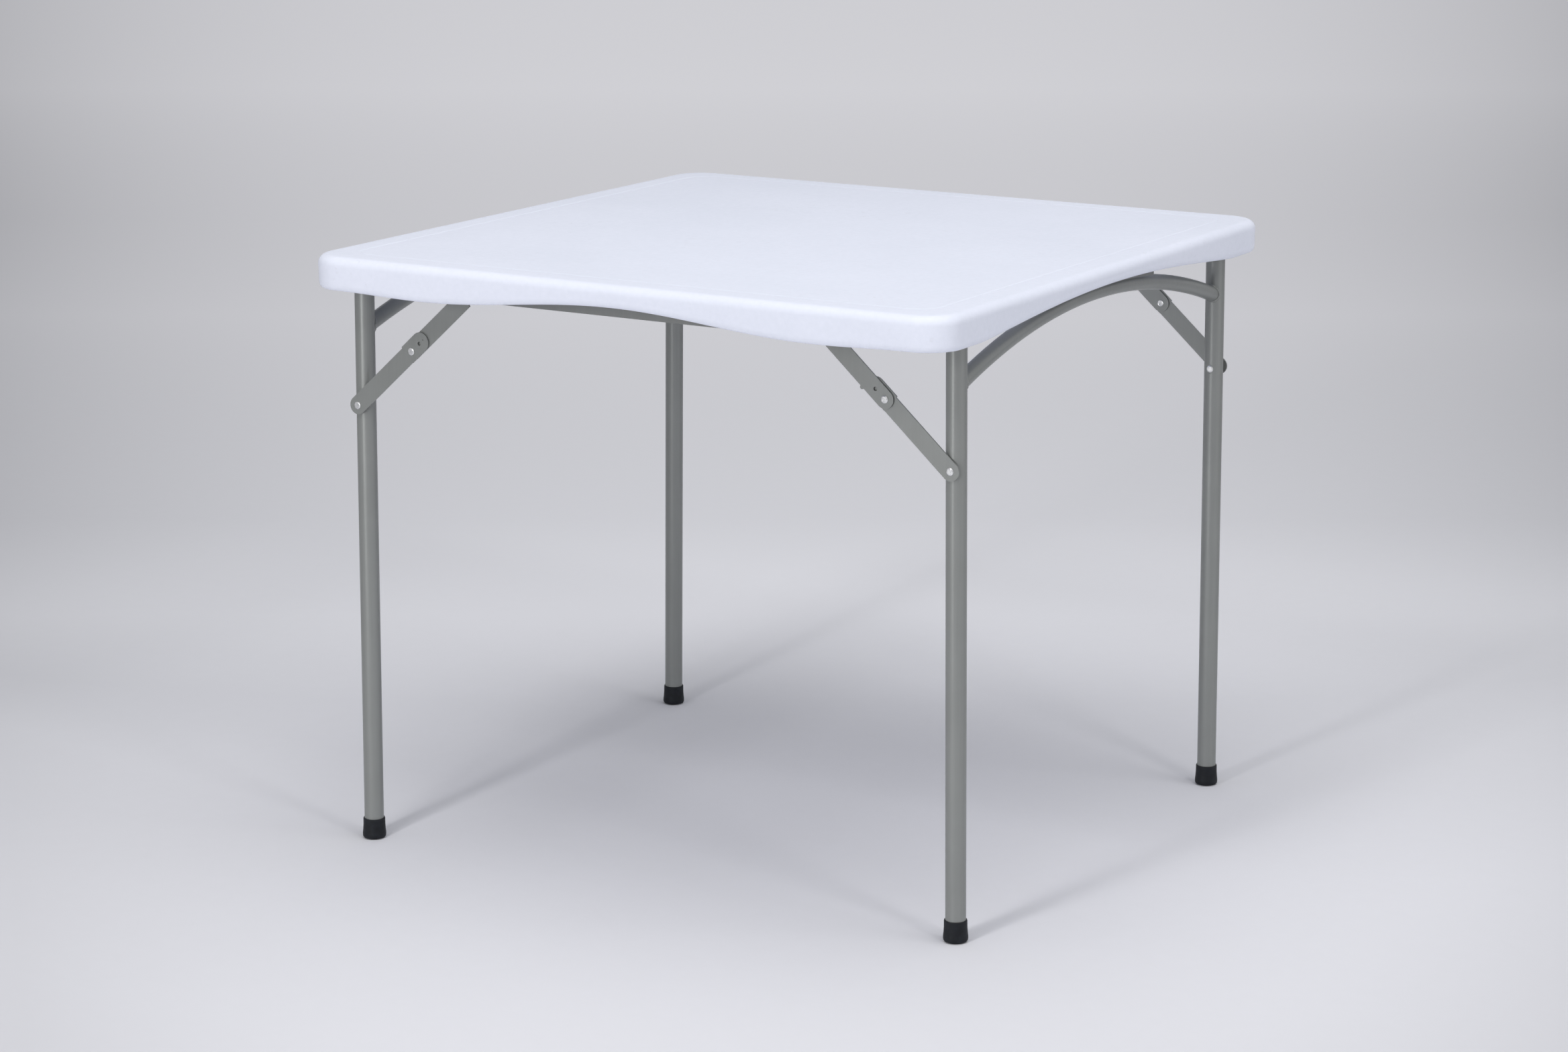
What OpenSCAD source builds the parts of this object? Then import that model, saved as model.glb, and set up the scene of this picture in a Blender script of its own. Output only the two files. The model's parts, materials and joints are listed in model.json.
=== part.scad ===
// Square folding table with two staggered tube leg frames. Millimetres, +Z up, floor at z = 0.
// +X runs along the front edge, the front edge faces -Y. Each part is drawn where it sits.
// The table looks the same after half a turn about Z, so the left parts are the right parts turned.

/* [Table top] */
// Side of the square top
top_w = 866; // [700:1:1000]
// Height of the top above the floor
table_h = 740; // [650:1:800]
// Corner radius of the top seen from above
corner_r = 46; // [35:1:70]
// Thickness of the flat slab above the legs
slab_t = 7; // [6:0.5:10]
// Radius of the rounded upper rim
rim_r = 8; // [5:0.5:10]
// Height of the skirt at its lowest places
skirt_h = 43; // [40:1:50]
// Wall thickness of the skirt
skirt_t = 8; // [5:0.5:10]
// How far the skirt edge rises in the middle of the front and back
wave_rise = 16.6; // [0:0.2:20]
// Distance from the end of the raised middle of the front and back to the corner
wave_in = 122; // [80:1:160]
// Small rise of the skirt edge toward the corners
corner_rise = 2.7; // [0:0.1:5]
// How far the skirt edge rises in the middle of the left and right
side_rise = 18.6; // [0:0.2:20]
// Distance from the end of the raised middle of the left and right to the corner
side_in = 47; // [20:1:80]
// Distance of the shallow groove from the edge
groove_in = 39; // [30:1:60]
// Depth of the shallow groove
groove_d = 0.5; // [0.3:0.1:1]
// Width of the shallow groove
groove_w = 2.4; // [1:0.2:4]
// Free strip between the thick middle field and the middle of the inner legs
field_gap = 30; // [24:1:60]
// How far the thick middle field stands down
field_t = 11; // [6:1:14]
// Wall of the hollow middle field
skin_t = 2.5; // [2:0.1:3]
// Depth of the cone shaped dimples in the middle field
dimple_d = 14; // [6:1:14]
// Mouth radius of a dimple
dimple_r = 16; // [10:1:22]
// Number of dimples along each side of the field
dimple_n = 8; // [4:1:9]

/* [Leg frames] */
// Outer radius of the leg tubes
leg_r = 12; // [10:0.5:14]
// Wall of the leg tubes
leg_wall = 1.5; // [1.2:0.1:2]
// Distance of the fold axis from the left or right edge
hinge_in = 40; // [37:1:60]
// Height of the fold axis below the table surface
hinge_drop = 29; // [28:0.5:30]
// Outward lean of the open legs in degrees
splay = 0.6; // [0:0.1:1]
// Mean distance of the legs of a frame from the front and back edges
frame_in = 85; // [80:1:110]
// Sideways shift of each frame so that the folded legs pass
stagger = 18; // [18:0.5:20]
// Outer radius of the arched cross tube
arch_r = 9.5; // [8:0.5:10]
// Height of the middle of the arch centre line below the fold axis
arch_drop = 9.5; // [9:0.5:14]
// Centre line radius of the arch divided by half its span
arch_flat = 3.2; // [2.6:0.1:4]

/* [Feet] */
// Widest radius of a foot cap
foot_r = 14.5; // [13.5:0.1:15]
// Height of a foot cap
foot_h = 26; // [20:1:32]
// Thickness of the foot cap under the tube
foot_floor = 4; // [3:0.5:6]

/* [Folding braces] */
// Distance from the fold axis to the brace rivet on the leg
brace_reach = 158.5; // [150:0.5:165]
// How far the leg rivet stops past the brace anchor when folded
brace_gap = 16.5; // [16:0.5:20]
// Half width of the brace plates
link_half = 11; // [9:0.5:11]
// Thickness of a brace plate
link_t = 1.8; // [1.5:0.1:2]
// Length of the lower plate past the middle rivet
tail_l = 30; // [24:1:32]
// Free space between the two plates of a brace
link_gap = 0.5; // [0.4:0.1:0.8]
// Distance of the detent from the middle rivet
detent_l = 16; // [14:0.5:18]
// Head radius of the rivets
rivet_head_r = 4.4; // [3.5:0.1:4.6]
// Head height of the rivets
rivet_head_t = 1.3; // [1:0.1:1.3]
// Shank radius of the rivets
rivet_r = 2.6; // [2:0.1:3]

/* [Under frame] */
// Sheet thickness of rails and stiffeners
sheet_t = 1.5; // [1.2:0.1:2]
// Height of the side rails
rail_h = 38; // [34:1:40]
// Free space between the ends of the side rails and the skirt
rail_end = 5; // [4:0.5:10]
// Length of the end stiffeners divided by the distance between the legs
stiff_share = 0.4; // [0.3:0.05:0.6]
// Depth of the end stiffeners at their ends
stiff_h = 30.8; // [26:0.2:34]
// How far the lower edge of an end stiffener rises in the middle
stiff_rise = 7; // [0:0.5:12]
// Half width of the pivot brackets
bracket_half = 18; // [16:1:20]
// Thickness of the pivot brackets
bracket_t = 2; // [1.5:0.5:3]
// Radius of the pivot bolts
bolt_r = 4; // [3:0.5:4]
// Shank radius of the screws
screw_r = 2; // [1.5:0.1:2.2]
// Head radius of the screws
screw_head_r = 4.2; // [3.5:0.1:4.5]

/* [Hidden] */
$fn = 48;

// Clearances
seat = 0.02;      // between faces that touch
run_gap = 0.08;   // round a shank that turns in a hole
play = 0.3;       // between sheets that pass each other
weld_gap = 0.02;  // between a coped tube end and the tube it meets

// Heights and sides that follow from the values above
half_w = top_w / 2;
hinge_x = half_w - hinge_in;
frame_half = half_w - frame_in;    // half the distance between the two legs of a frame
arch_bend = arch_flat * frame_half;
stiff_half = stiff_share * frame_half;
rail_half = half_w - skirt_t - rail_end;
under_z = table_h - slab_t;
hinge_z = table_h - hinge_drop;
rail_z = under_z - rail_h;
skirt_z = table_h - skirt_h;
corner_z = skirt_z + corner_rise;
edge_half = half_w - corner_r;     // half length of the straight part of a side
wave_half = edge_half - wave_in;   // half length of the raised middle of the front and back
side_half = edge_half - side_in;   // half length of the raised middle of the left and right
inner_y = frame_half - stagger;    // distance of the inner legs from the middle
outer_y = frame_half + stagger;    // distance of the outer legs from the middle
field_half = inner_y - field_gap;  // half side of the thick middle field
field_r = field_gap;               // corner radius of the thick middle field
cut_in = skirt_t + 6;              // how far the cutters of the wavy edge reach inward
foot_bottom_r = foot_r - 3.5;
leg_len = (hinge_z - foot_bottom_r * sin(splay)) / cos(splay);
leg_top = leg_r + 1;
arch_end = asin((frame_half) / arch_bend);
arch_mid_z = hinge_z - arch_drop;
arch_x = hinge_x + 2 * arch_drop * tan(splay);
arch_cross = arch_drop + arch_bend - sqrt(pow(arch_bend, 2) - pow(frame_half - 16, 2));

// Brace points in the plane of the brace, right side of the table, as [x, z]
rivet_p = [hinge_x + brace_reach * tan(splay), hinge_z - brace_reach];
rivet_r_len = brace_reach / cos(splay);
anchor_p = [hinge_x - rivet_r_len - brace_gap, hinge_z];
reach_v = anchor_p - rivet_p;
reach_l = norm(reach_v);
reach_a = atan2(reach_v[1], reach_v[0]);
lower_l = (reach_l - brace_gap) / 2;
upper_l = (reach_l + brace_gap) / 2;
mid_p = rivet_p + lower_l / reach_l * reach_v;

// Layers outward from the crown of the leg beside a brace
tail_t = 1.0;
near_0 = tail_t + 0.4;
near_1 = near_0 + link_t;
far_0 = near_1 + link_gap;
far_1 = far_0 + link_t;
web_0 = far_1 + rivet_head_t + 0.5;
crown_in = inner_y + leg_r;
crown_out = outer_y + leg_r;
web_in = crown_in + web_0;
web_out = crown_out + web_0;
bracket_y = inner_y - leg_r - near_1 - bracket_t;
sleeve_r = 7;
notch_r = 6;
notch_y = 1.4;
shoulder_r = 4;

// Screw places
rail_screw_x = [-0.74 * rail_half, -rail_half / 4, rail_half / 4, 0.74 * rail_half];
rail_screw_y = (web_in + sheet_t + web_out) / 2;
stiff_x = hinge_x + arch_drop * tan(splay) + arch_r + play;
stiff_mid = stagger;
stiff_flange = half_w - skirt_t - 5 - stiff_x;
stiff_screw_y = [stiff_mid - 0.72 * stiff_half, stiff_mid, stiff_mid + 0.72 * stiff_half];
stiff_screw_x = stiff_x + (sheet_t + stiff_flange) / 2;
bracket_flange = 1.2 * bracket_half;
bracket_screw_x = [hinge_x - 0.6 * bracket_half, hinge_x + 0.6 * bracket_half];
bracket_screw_y = bracket_y - 0.6 * bracket_flange;
clip_wall = 3;

// Shared shapes

module turned() {
    rotate([0, 0, 180])
        children();
}

// Turns a frame drawn upright to its outward lean
module leaned() {
    translate([hinge_x, 0, hinge_z])
        rotate([0, -splay, 0])
            translate([-hinge_x, 0, -hinge_z])
                children();
}

// A flat shape given in x and z, standing from y0 to y0 + t
module plate_y(y0, t) {
    translate([0, y0 + t, 0])
        rotate([90, 0, 0])
            linear_extrude(height = t)
                children();
}

// A round bar along y at the point p = [x, z]
module rod_y(p, y0, y1, r) {
    translate([p[0], y0, p[1]])
        rotate([-90, 0, 0])
            cylinder(r = r, h = y1 - y0);
}

// A domed rivet head whose flat side is at y0 and that stands toward s
module head_y(p, y0, r, t, s) {
    translate([p[0], y0, p[1]])
        rotate([s > 0 ? -90 : 90, 0, 0]) {
            cylinder(r = r, h = t * 0.45);
            translate([0, 0, t * 0.45])
                cylinder(r1 = r, r2 = r * 0.72, h = t * 0.55);
        }
}

module rounded(half, r) {
    offset(r = r)
        square(2 * (half - r), center = true);
}

// A screw driven upward: head under z0, shank above it
module screw_up(x, y, z0, grip) {
    translate([x, y, z0 - 1.2])
        cylinder(r = screw_head_r, h = 1.2);
    translate([x, y, z0 - 2.2])
        cylinder(r1 = screw_head_r * 0.6, r2 = screw_head_r, h = 1.0);
    translate([x, y, z0])
        cylinder(r = screw_r, h = grip);
}

module screw_hole(x, y) {
    translate([x, y, under_z - 1])
        cylinder(r = screw_r + seat, h = 6);
}

// Table top

function arc_pts(cx, cy, r, a0, a1, n) = [for (i = [0:n]) [cx + r * cos(a0 + (a1 - a0) * i / n),
    cy + r * sin(a0 + (a1 - a0) * i / n)]];

// Section of the skirt: first value is the distance out from the corner centre, second is the height
skirt_pts = concat(
    [[corner_r - skirt_t - 4, table_h]],
    arc_pts(corner_r - rim_r, table_h - rim_r, rim_r, 90, 0, 6),
    [[corner_r - 0.4, table_h - 18], [corner_r - 0.6, corner_z + 5.4], [corner_r - 3.6, corner_z + 0.55],
    [corner_r - 4.7, corner_z + 0.03], [corner_r - skirt_t, corner_z + 0.03],
    [corner_r - skirt_t, under_z - 3], [corner_r - skirt_t - 3, under_z],
    [corner_r - skirt_t - 4, under_z]]);

// The same section for the straight sides, which reach lower before their wavy edge is cut
side_pts = concat(
    [[corner_r - skirt_t - 4, table_h]],
    arc_pts(corner_r - rim_r, table_h - rim_r, rim_r, 90, 0, 6),
    [[corner_r - 0.4, table_h - 18], [corner_r - 0.6, skirt_z - 2],
    [corner_r - skirt_t, skirt_z - 2], [corner_r - skirt_t, under_z - 3], [corner_r - skirt_t - 3, under_z],
    [corner_r - skirt_t - 4, under_z]]);

module skirt_ring() {
    for (a = [0, 90, 180, 270])
        rotate([0, 0, a]) {
            translate([edge_half, edge_half, 0])
                rotate_extrude(angle = 90)
                    polygon(skirt_pts);
            translate([edge_half, edge_half, 0])
                rotate([90, 0, 0])
                    linear_extrude(height = 2 * edge_half)
                        polygon(side_pts);
        }
}

// Height of the skirt edge above its lowest line at distance s from the middle of a side
function front_wave(s) = s < wave_half
    ? wave_rise * (0.5 + 0.5 * cos(180 * s / wave_half))
    : corner_rise * (0.5 - 0.5 * cos(180 * min(1, (s - wave_half) / (edge_half - wave_half))));
function side_wave(s) = s < side_half
    ? corner_rise + side_rise * pow(1 - s * s / (side_half * side_half), 1.3)
    : corner_rise;

// Everything below the wavy edge of one side, as a flat shape
module below_wave(side) {
    n = 40;
    step = edge_half / n;
    polygon(concat(
        [[-edge_half - 0.5, corner_rise]],
        [for (i = [-n:n]) [i * step, side ? side_wave(abs(i * step)) : front_wave(abs(i * step))]],
        [[edge_half + 0.5, corner_rise], [edge_half + 0.5, -30], [-edge_half - 0.5, -30]]));
}

// Cuts the wavy edge of the side that faces -Y, with two bevels for its rounded outer edge
module wave_cut(side) {
    edge = -half_w + 0.6;
    translate([0, edge + cut_in, skirt_z])
        rotate([90, 0, 0])
            linear_extrude(height = cut_in + 4)
                below_wave(side);
    translate([0, edge + 3.4, skirt_z])
        rotate([65, 0, 0])
            translate([0, 0, -1])
                linear_extrude(height = 12)
                    below_wave(side);
    translate([0, edge + 1.2, skirt_z + 0.9])
        rotate([32, 0, 0])
            translate([0, 0, -1])
                linear_extrude(height = 12)
                    below_wave(side);
}

module dimple(x, y, wall) {
    translate([x, y, under_z - field_t])
        cylinder(r1 = dimple_r + wall, r2 = dimple_r * 0.45 + wall, h = dimple_d + wall);
}

// The middle field is hollow, and its dimples reach up to the upper skin
module field_hollow() {
    pitch = 2 * field_half / dimple_n;
    first = -field_half + pitch / 2;
    difference() {
        translate([0, 0, under_z - field_t + skin_t])
            linear_extrude(height = slab_t + field_t - 2 * skin_t)
                rounded(field_half - skin_t, field_r - skin_t);
        for (i = [0:dimple_n - 1])
            for (j = [0:dimple_n - 1])
                dimple(first + i * pitch, first + j * pitch, skin_t);
    }
}

module tabletop() {
    pitch = 2 * field_half / dimple_n;
    first = -field_half + pitch / 2;
    color("white")
        difference() {
            union() {
                skirt_ring();
                translate([0, 0, under_z])
                    linear_extrude(height = slab_t)
                        rounded(half_w - skirt_t - 3, corner_r - skirt_t - 3);
                translate([0, 0, under_z - field_t])
                    linear_extrude(height = field_t + 1)
                        rounded(field_half, field_r);
            }
            for (a = [0, 90, 180, 270])
                rotate([0, 0, a]) {
                    wave_cut(a == 90 || a == 270);
                }
            translate([0, 0, table_h - groove_d])
                linear_extrude(height = groove_d + 1)
                    difference() {
                        rounded(half_w - groove_in, corner_r - 14);
                        rounded(half_w - groove_in - groove_w, corner_r - 14 - groove_w);
                    }
            for (i = [0:dimple_n - 1])
                for (j = [0:dimple_n - 1])
                    dimple(first + i * pitch, first + j * pitch, 0);
            field_hollow();
            for (s = [-1, 1])
                for (x = rail_screw_x)
                    screw_hole(x, s * rail_screw_y);
            for (a = [0, 180])
                rotate([0, 0, a]) {
                    for (y = stiff_screw_y)
                        screw_hole(stiff_screw_x, y);
                    for (x = bracket_screw_x)
                        screw_hole(x, -bracket_screw_y);
                    screw_hole(0, -inner_y);
                }
        }
}

// Rails, brackets and stops, drawn for the back or the right and turned for the others

// The rail at the back: the outer leg folds up between its two webs
module side_rail() {
    color("gray")
        difference() {
            union() {
                translate([-rail_half, web_in, under_z - sheet_t])
                    cube([2 * rail_half, web_out + sheet_t - web_in, sheet_t - seat]);
                rail_web(web_in);
                rail_web(web_out);
            }
            for (x = [-hinge_x, hinge_x])
                rod_y([x, hinge_z], web_in - 1, web_in + sheet_t + 1, bolt_r + run_gap);
            rod_y([hinge_x, hinge_z], web_out - 1, web_out + sheet_t + 1, bolt_r + run_gap);
            rod_y([-anchor_p[0], hinge_z], web_in - 1, web_in + sheet_t + 1, rivet_r + seat);
            rod_y(anchor_p, web_out - 1, web_out + sheet_t + 1, rivet_r + seat);
            for (x = rail_screw_x)
                translate([x, rail_screw_y, under_z - sheet_t - 1])
                    cylinder(r = screw_r + run_gap, h = 4);
            arch_notch();
        }
}

// The folded arch crosses the inner web here
module arch_notch() {
    top_z = hinge_z + arch_r + 3;
    mid_x = hinge_x - arch_cross;
    plate_y(web_in - 1, sheet_t + 2) {
        translate([mid_x - 12.5, rail_z - 1])
            square([30, top_z - rail_z - 7]);
        translate([mid_x - 4.5, top_z - 8])
            circle(8);
        translate([mid_x + 9.5, top_z - 8])
            circle(8);
        translate([mid_x - 4.5, top_z - 9])
            square([14, 9]);
    }
}

module rail_web(y0) {
    cut = 14;
    plate_y(y0, sheet_t)
        polygon([[-rail_half, under_z - seat], [rail_half, under_z - seat], [rail_half, rail_z + cut],
            [rail_half - cut, rail_z], [-rail_half + cut, rail_z], [-rail_half, rail_z + cut]]);
}

// Angle bar whose lower edge is arched like the tube in front of it
module end_stiffener() {
    low_z = under_z - stiff_h;
    bow = (pow(stiff_half, 2) + pow(stiff_rise, 2)) / (2 * stiff_rise);
    color("gray")
        difference() {
            union() {
                translate([stiff_x, stiff_mid - stiff_half, low_z])
                    cube([sheet_t, 2 * stiff_half, stiff_h - seat]);
                translate([stiff_x, stiff_mid - stiff_half, under_z - sheet_t])
                    cube([stiff_flange, 2 * stiff_half, sheet_t - seat]);
            }
            translate([stiff_x - 1, stiff_mid, low_z + stiff_rise - bow])
                rotate([0, 90, 0])
                    cylinder(r = bow, h = sheet_t + 2, $fn = 200);
            for (y = stiff_screw_y)
                translate([stiff_screw_x, y, under_z - sheet_t - 1])
                    cylinder(r = screw_r + run_gap, h = 4);
        }
}

// Holds the inner end of the pivot bolt of an inner leg, drawn for the front right leg
module pivot_bracket() {
    color("gray")
        difference() {
            union() {
                plate_y(-bracket_y - bracket_t, bracket_t) {
                    translate([hinge_x - bracket_half, hinge_z])
                        square([2 * bracket_half, under_z - hinge_z - seat]);
                    translate([hinge_x, hinge_z])
                        circle(bracket_half);
                }
                translate([hinge_x - bracket_half, -bracket_y - 1, under_z - bracket_t])
                    cube([2 * bracket_half, bracket_flange + 1, bracket_t - seat]);
            }
            rod_y([hinge_x, hinge_z], -bracket_y - bracket_t - 1, -bracket_y + 1, bolt_r + run_gap);
            for (x = bracket_screw_x)
                translate([x, -bracket_screw_y, under_z - bracket_t - 1])
                    cylinder(r = screw_r + run_gap, h = bracket_t + 2);
        }
}

// Open cradle that a folded inner leg lies in, drawn for the front
module leg_clip() {
    in_r = leg_r + play + 0.1;
    base_z = hinge_z + leg_r + play + 1;
    color("dimgray")
        translate([0, -inner_y, 0])
            difference() {
                union() {
                    translate([-10, -in_r - clip_wall, base_z])
                        cube([20, 2 * (in_r + clip_wall), under_z - base_z - seat]);
                    for (s = [0, 1])
                        mirror([0, s, 0])
                            translate([-10, in_r, hinge_z - 4])
                                cube([20, clip_wall, base_z - hinge_z + 5]);
                }
                translate([0, 0, base_z - 1])
                    cylinder(r = screw_r + run_gap, h = 20);
                translate([0, 0, base_z - 0.01])
                    cylinder(r = screw_head_r + run_gap, h = 3);
            }
}

// Fasteners of the under frame

module rail_screws() {
    color("silver")
        for (s = [-1, 1])
            for (x = rail_screw_x)
                screw_up(x, s * rail_screw_y, under_z - sheet_t - seat, sheet_t + 4.5);
}

module stiffener_screws() {
    color("silver")
        for (a = [0, 180])
            rotate([0, 0, a])
                for (y = stiff_screw_y)
                    screw_up(stiff_screw_x, y, under_z - sheet_t - seat, sheet_t + 4.5);
}

module bracket_screws() {
    color("silver")
        for (a = [0, 180])
            rotate([0, 0, a])
                for (x = bracket_screw_x)
                    screw_up(x, -bracket_screw_y, under_z - bracket_t - seat, bracket_t + 4.5);
}

module clip_screws() {
    base_z = hinge_z + leg_r + play + 1;
    color("silver")
        for (s = [-1, 1])
            screw_up(0, s * inner_y, base_z + 3 - seat, under_z - base_z - 3 + 4.5);
}

// Pivot bolt of the outer leg at the back right, and of the inner leg at the front right
bolt_head_t = 3.2;
nut_t = 4;
outer_bolt = [web_in, web_out + sheet_t];
inner_bolt = [-web_in - sheet_t, -bracket_y];

module pivot_bolts() {
    p = [hinge_x, hinge_z];
    color("silver")
        for (a = [0, 180])
            rotate([0, 0, a]) {
                rod_y(p, outer_bolt[0] - nut_t - 1, outer_bolt[1] + seat, bolt_r);
                head_y(p, outer_bolt[1] + seat, 6.5, bolt_head_t, 1);
                rod_y(p, inner_bolt[0] - seat, inner_bolt[1] + nut_t + 1, bolt_r);
                head_y(p, inner_bolt[0] - seat, 6.5, bolt_head_t, -1);
            }
}

module pivot_nut(y0) {
    plate_y(y0, nut_t)
        difference() {
            translate([hinge_x, hinge_z])
                circle(r = 7, $fn = 6);
            translate([hinge_x, hinge_z])
                circle(r = bolt_r + seat);
        }
}

module pivot_nuts() {
    color("silver")
        for (a = [0, 180])
            rotate([0, 0, a]) {
                pivot_nut(outer_bolt[0] - nut_t - seat);
                pivot_nut(inner_bolt[1] + seat);
            }
}

module sleeve(y0, y1) {
    plate_y(y0, y1 - y0)
        difference() {
            translate([hinge_x, hinge_z])
                circle(r = sleeve_r);
            translate([hinge_x, hinge_z])
                circle(r = bolt_r + run_gap);
        }
}

module pivot_sleeves() {
    end = 0.1;
    color("white")
        for (a = [0, 180])
            rotate([0, 0, a]) {
                sleeve(web_in + sheet_t + end, outer_y - leg_r - end);
                sleeve(outer_y + leg_r + end, web_out - end);
                sleeve(-web_in + end, -inner_y - leg_r - end);
                sleeve(-inner_y + leg_r + end, -bracket_y - bracket_t - end);
            }
}

// Studs in the rail webs that carry the upper plates
module anchor_studs() {
    color("silver")
        for (a = [0, 180])
            rotate([0, 0, a]) {
                rod_y(anchor_p, crown_out + near_0 - 0.9, web_out + sheet_t + seat, rivet_r);
                rod_y(anchor_p, crown_out + near_1 + seat, web_out - seat, shoulder_r);
                rod_y(anchor_p, crown_out + near_0 - 0.9, crown_out + near_0 - 0.05, 3.8);
                head_y(anchor_p, web_out + sheet_t + seat, rivet_head_r, rivet_head_t, 1);
                rod_y(anchor_p, -web_in - sheet_t - seat, -crown_in - far_0 + 0.9, rivet_r);
                rod_y(anchor_p, -web_in + seat, -crown_in - far_1 - seat, 6);
                rod_y(anchor_p, -crown_in - far_0 + 0.05, -crown_in - far_0 + 0.9, 3.8);
                head_y(anchor_p, -web_in - sheet_t - seat, rivet_head_r, 1, -1);
            }
}

// Leg frames, drawn for the right side

// A leg at distance y; s is the side that the brace is on
module leg(y, s) {
    color("slategray")
        leaned()
            difference() {
                translate([hinge_x, y, hinge_z - leg_len + foot_floor])
                    cylinder(r = leg_r, h = leg_len - foot_floor + leg_top);
                translate([hinge_x, y, hinge_z - leg_len])
                    cylinder(r = leg_r - leg_wall, h = leg_len + leg_top + 5);
                rod_y([hinge_x, hinge_z], y - leg_r - 1, y + leg_r + 1, bolt_r + run_gap);
                rod_y([hinge_x, hinge_z - rivet_r_len], y - leg_r - 1, y + leg_r + 1, rivet_r + seat);
                rod_y([hinge_x, hinge_z - rivet_r_len], min(y - s * (leg_r - 0.7), y - s * (leg_r + 1)),
                    max(y - s * (leg_r - 0.7), y - s * (leg_r + 1)), 5.6);
            }
}

// The cross tube bends upward in the middle and its ends are coped to the legs
module arch() {
    color("slategray")
        difference() {
            translate([arch_x, stagger, arch_mid_z - arch_bend])
                rotate([90, 0, 90])
                    rotate([0, 0, 90 - arch_end])
                        rotate_extrude(angle = 2 * arch_end, $fn = 180)
                            translate([arch_bend, 0])
                                difference() {
                                    circle(r = arch_r);
                                    circle(r = arch_r - 1.3);
                                }
            leaned()
                for (y = [-inner_y, outer_y])
                    translate([hinge_x, y, hinge_z - leg_len / 2])
                        cylinder(r = leg_r + weld_gap, h = leg_len / 2 + leg_top);
        }
}

// Plastic plug in the top end of each leg
module leg_plugs() {
    color("black")
        leaned()
            for (y = [-inner_y, outer_y]) {
                translate([hinge_x, y, hinge_z + leg_top + seat])
                    cylinder(r1 = leg_r, r2 = leg_r - 0.8, h = 1.5);
                translate([hinge_x, y, hinge_z + leg_top - 5])
                    cylinder(r = leg_r - leg_wall - seat, h = 5.5);
            }
}

module foot(y) {
    in_r = leg_r + seat;
    color("black")
        leaned()
            translate([hinge_x, y, hinge_z - leg_len])
                rotate_extrude()
                    polygon([[0, 0], [foot_bottom_r, 0], [foot_r - 1.2, 0.9], [foot_r - 0.3, 2.2],
                        [foot_r, 4], [foot_r, 6.5], [foot_r - 0.5, 11], [foot_r - 0.9, 17],
                        [foot_r - 1, foot_h - 1.2], [foot_r - 1.4, foot_h], [in_r, foot_h],
                        [in_r, foot_floor - seat], [0, foot_floor - seat]]);
}

// Rivets through the legs that carry the lower plates
module leg_rivets() {
    color("silver") {
        rod_y(rivet_p, -crown_in - near_1 - seat, -inner_y + leg_r - 0.7, rivet_r);
        rod_y(rivet_p, -crown_in - near_0 + seat, -crown_in - seat, shoulder_r);
        head_y(rivet_p, -crown_in - near_1 - seat, rivet_head_r, 1.2, -1);
        head_y(rivet_p, -inner_y + leg_r - 0.7 + seat, rivet_head_r, rivet_head_t, 1);
        rod_y(rivet_p, outer_y - leg_r + 0.7, crown_out + far_1 + seat, rivet_r);
        rod_y(rivet_p, crown_out + seat, crown_out + far_0 - seat, shoulder_r);
        head_y(rivet_p, crown_out + far_1 + seat, rivet_head_r, rivet_head_t, 1);
        head_y(rivet_p, outer_y - leg_r + 0.7 - seat, rivet_head_r, rivet_head_t, -1);
    }
}

// Brace plates, as flat shapes in x and z

module lower_shape(hole) {
    translate(rivet_p)
        rotate(reach_a)
            difference() {
                union() {
                    circle(r = link_half);
                    translate([0, -link_half])
                        square([lower_l, 2 * link_half]);
                    translate([lower_l - 8, -link_half - 1.6])
                        square([tail_l - 12 + 8, 2 * link_half + 2]);
                    translate([lower_l + tail_l - 12, -0.6])
                        circle(r = 12);
                }
                circle(r = rivet_r + run_gap);
                translate([lower_l, 0])
                    circle(r = rivet_r + seat);
                if (hole)
                    translate([lower_l + detent_l, 0])
                        circle(r = 2.4);
            }
}

module upper_shape(hole, ear) {
    translate(anchor_p)
        rotate(reach_a + 180)
            difference() {
                union() {
                    circle(r = link_half);
                    translate([0, -link_half])
                        square([upper_l, 2 * link_half]);
                    translate([upper_l, 0])
                        circle(r = link_half);
                    if (ear)
                        translate([upper_l - 29, -link_half])
                            circle(r = 2.6);
                }
                circle(r = rivet_r + run_gap);
                translate([upper_l, 0])
                    circle(r = rivet_r + seat);
                translate([brace_gap, notch_y])
                    circle(r = notch_r);
                translate([brace_gap - notch_r, -link_half - 4])
                    square([2 * notch_r, link_half + 4 + notch_y]);
                if (hole)
                    translate([upper_l - detent_l, 0])
                        circle(r = 2.4);
            }
}

detent_p = mid_p + detent_l / reach_l * reach_v;
dot_p = mid_p + 23.6 / reach_l * reach_v;

// A small pressed bump toward s on the face at y0
module bump(y0, s) {
    translate([detent_p[0], y0, detent_p[1]])
        rotate([s > 0 ? -90 : 90, 0, 0])
            cylinder(r1 = 2.1, r2 = 1.3, h = 0.35);
}

// Inner leg at the front: lower plate next to the leg, upper plate outside it
module lower_link_inner() {
    color("slategray") {
        plate_y(-crown_in - near_1, link_t)
            lower_shape(false);
        bump(-crown_in - near_1, -1);
    }
}

module upper_link_inner() {
    color("slategray")
        plate_y(-crown_in - far_1, link_t)
            upper_shape(true, true);
}

// Outer leg at the back: upper plate next to the leg, lower plate outside it
module lower_link_outer() {
    color("slategray")
        difference() {
            plate_y(crown_out + far_0, link_t)
                lower_shape(true);
            rod_y(dot_p, crown_out + far_1 - 0.6, crown_out + far_1 + 1, 0.9);
        }
}

module upper_link_outer() {
    color("slategray") {
        plate_y(crown_out + near_0, link_t)
            upper_shape(false, false);
        bump(crown_out + near_1, 1);
    }
}

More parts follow.
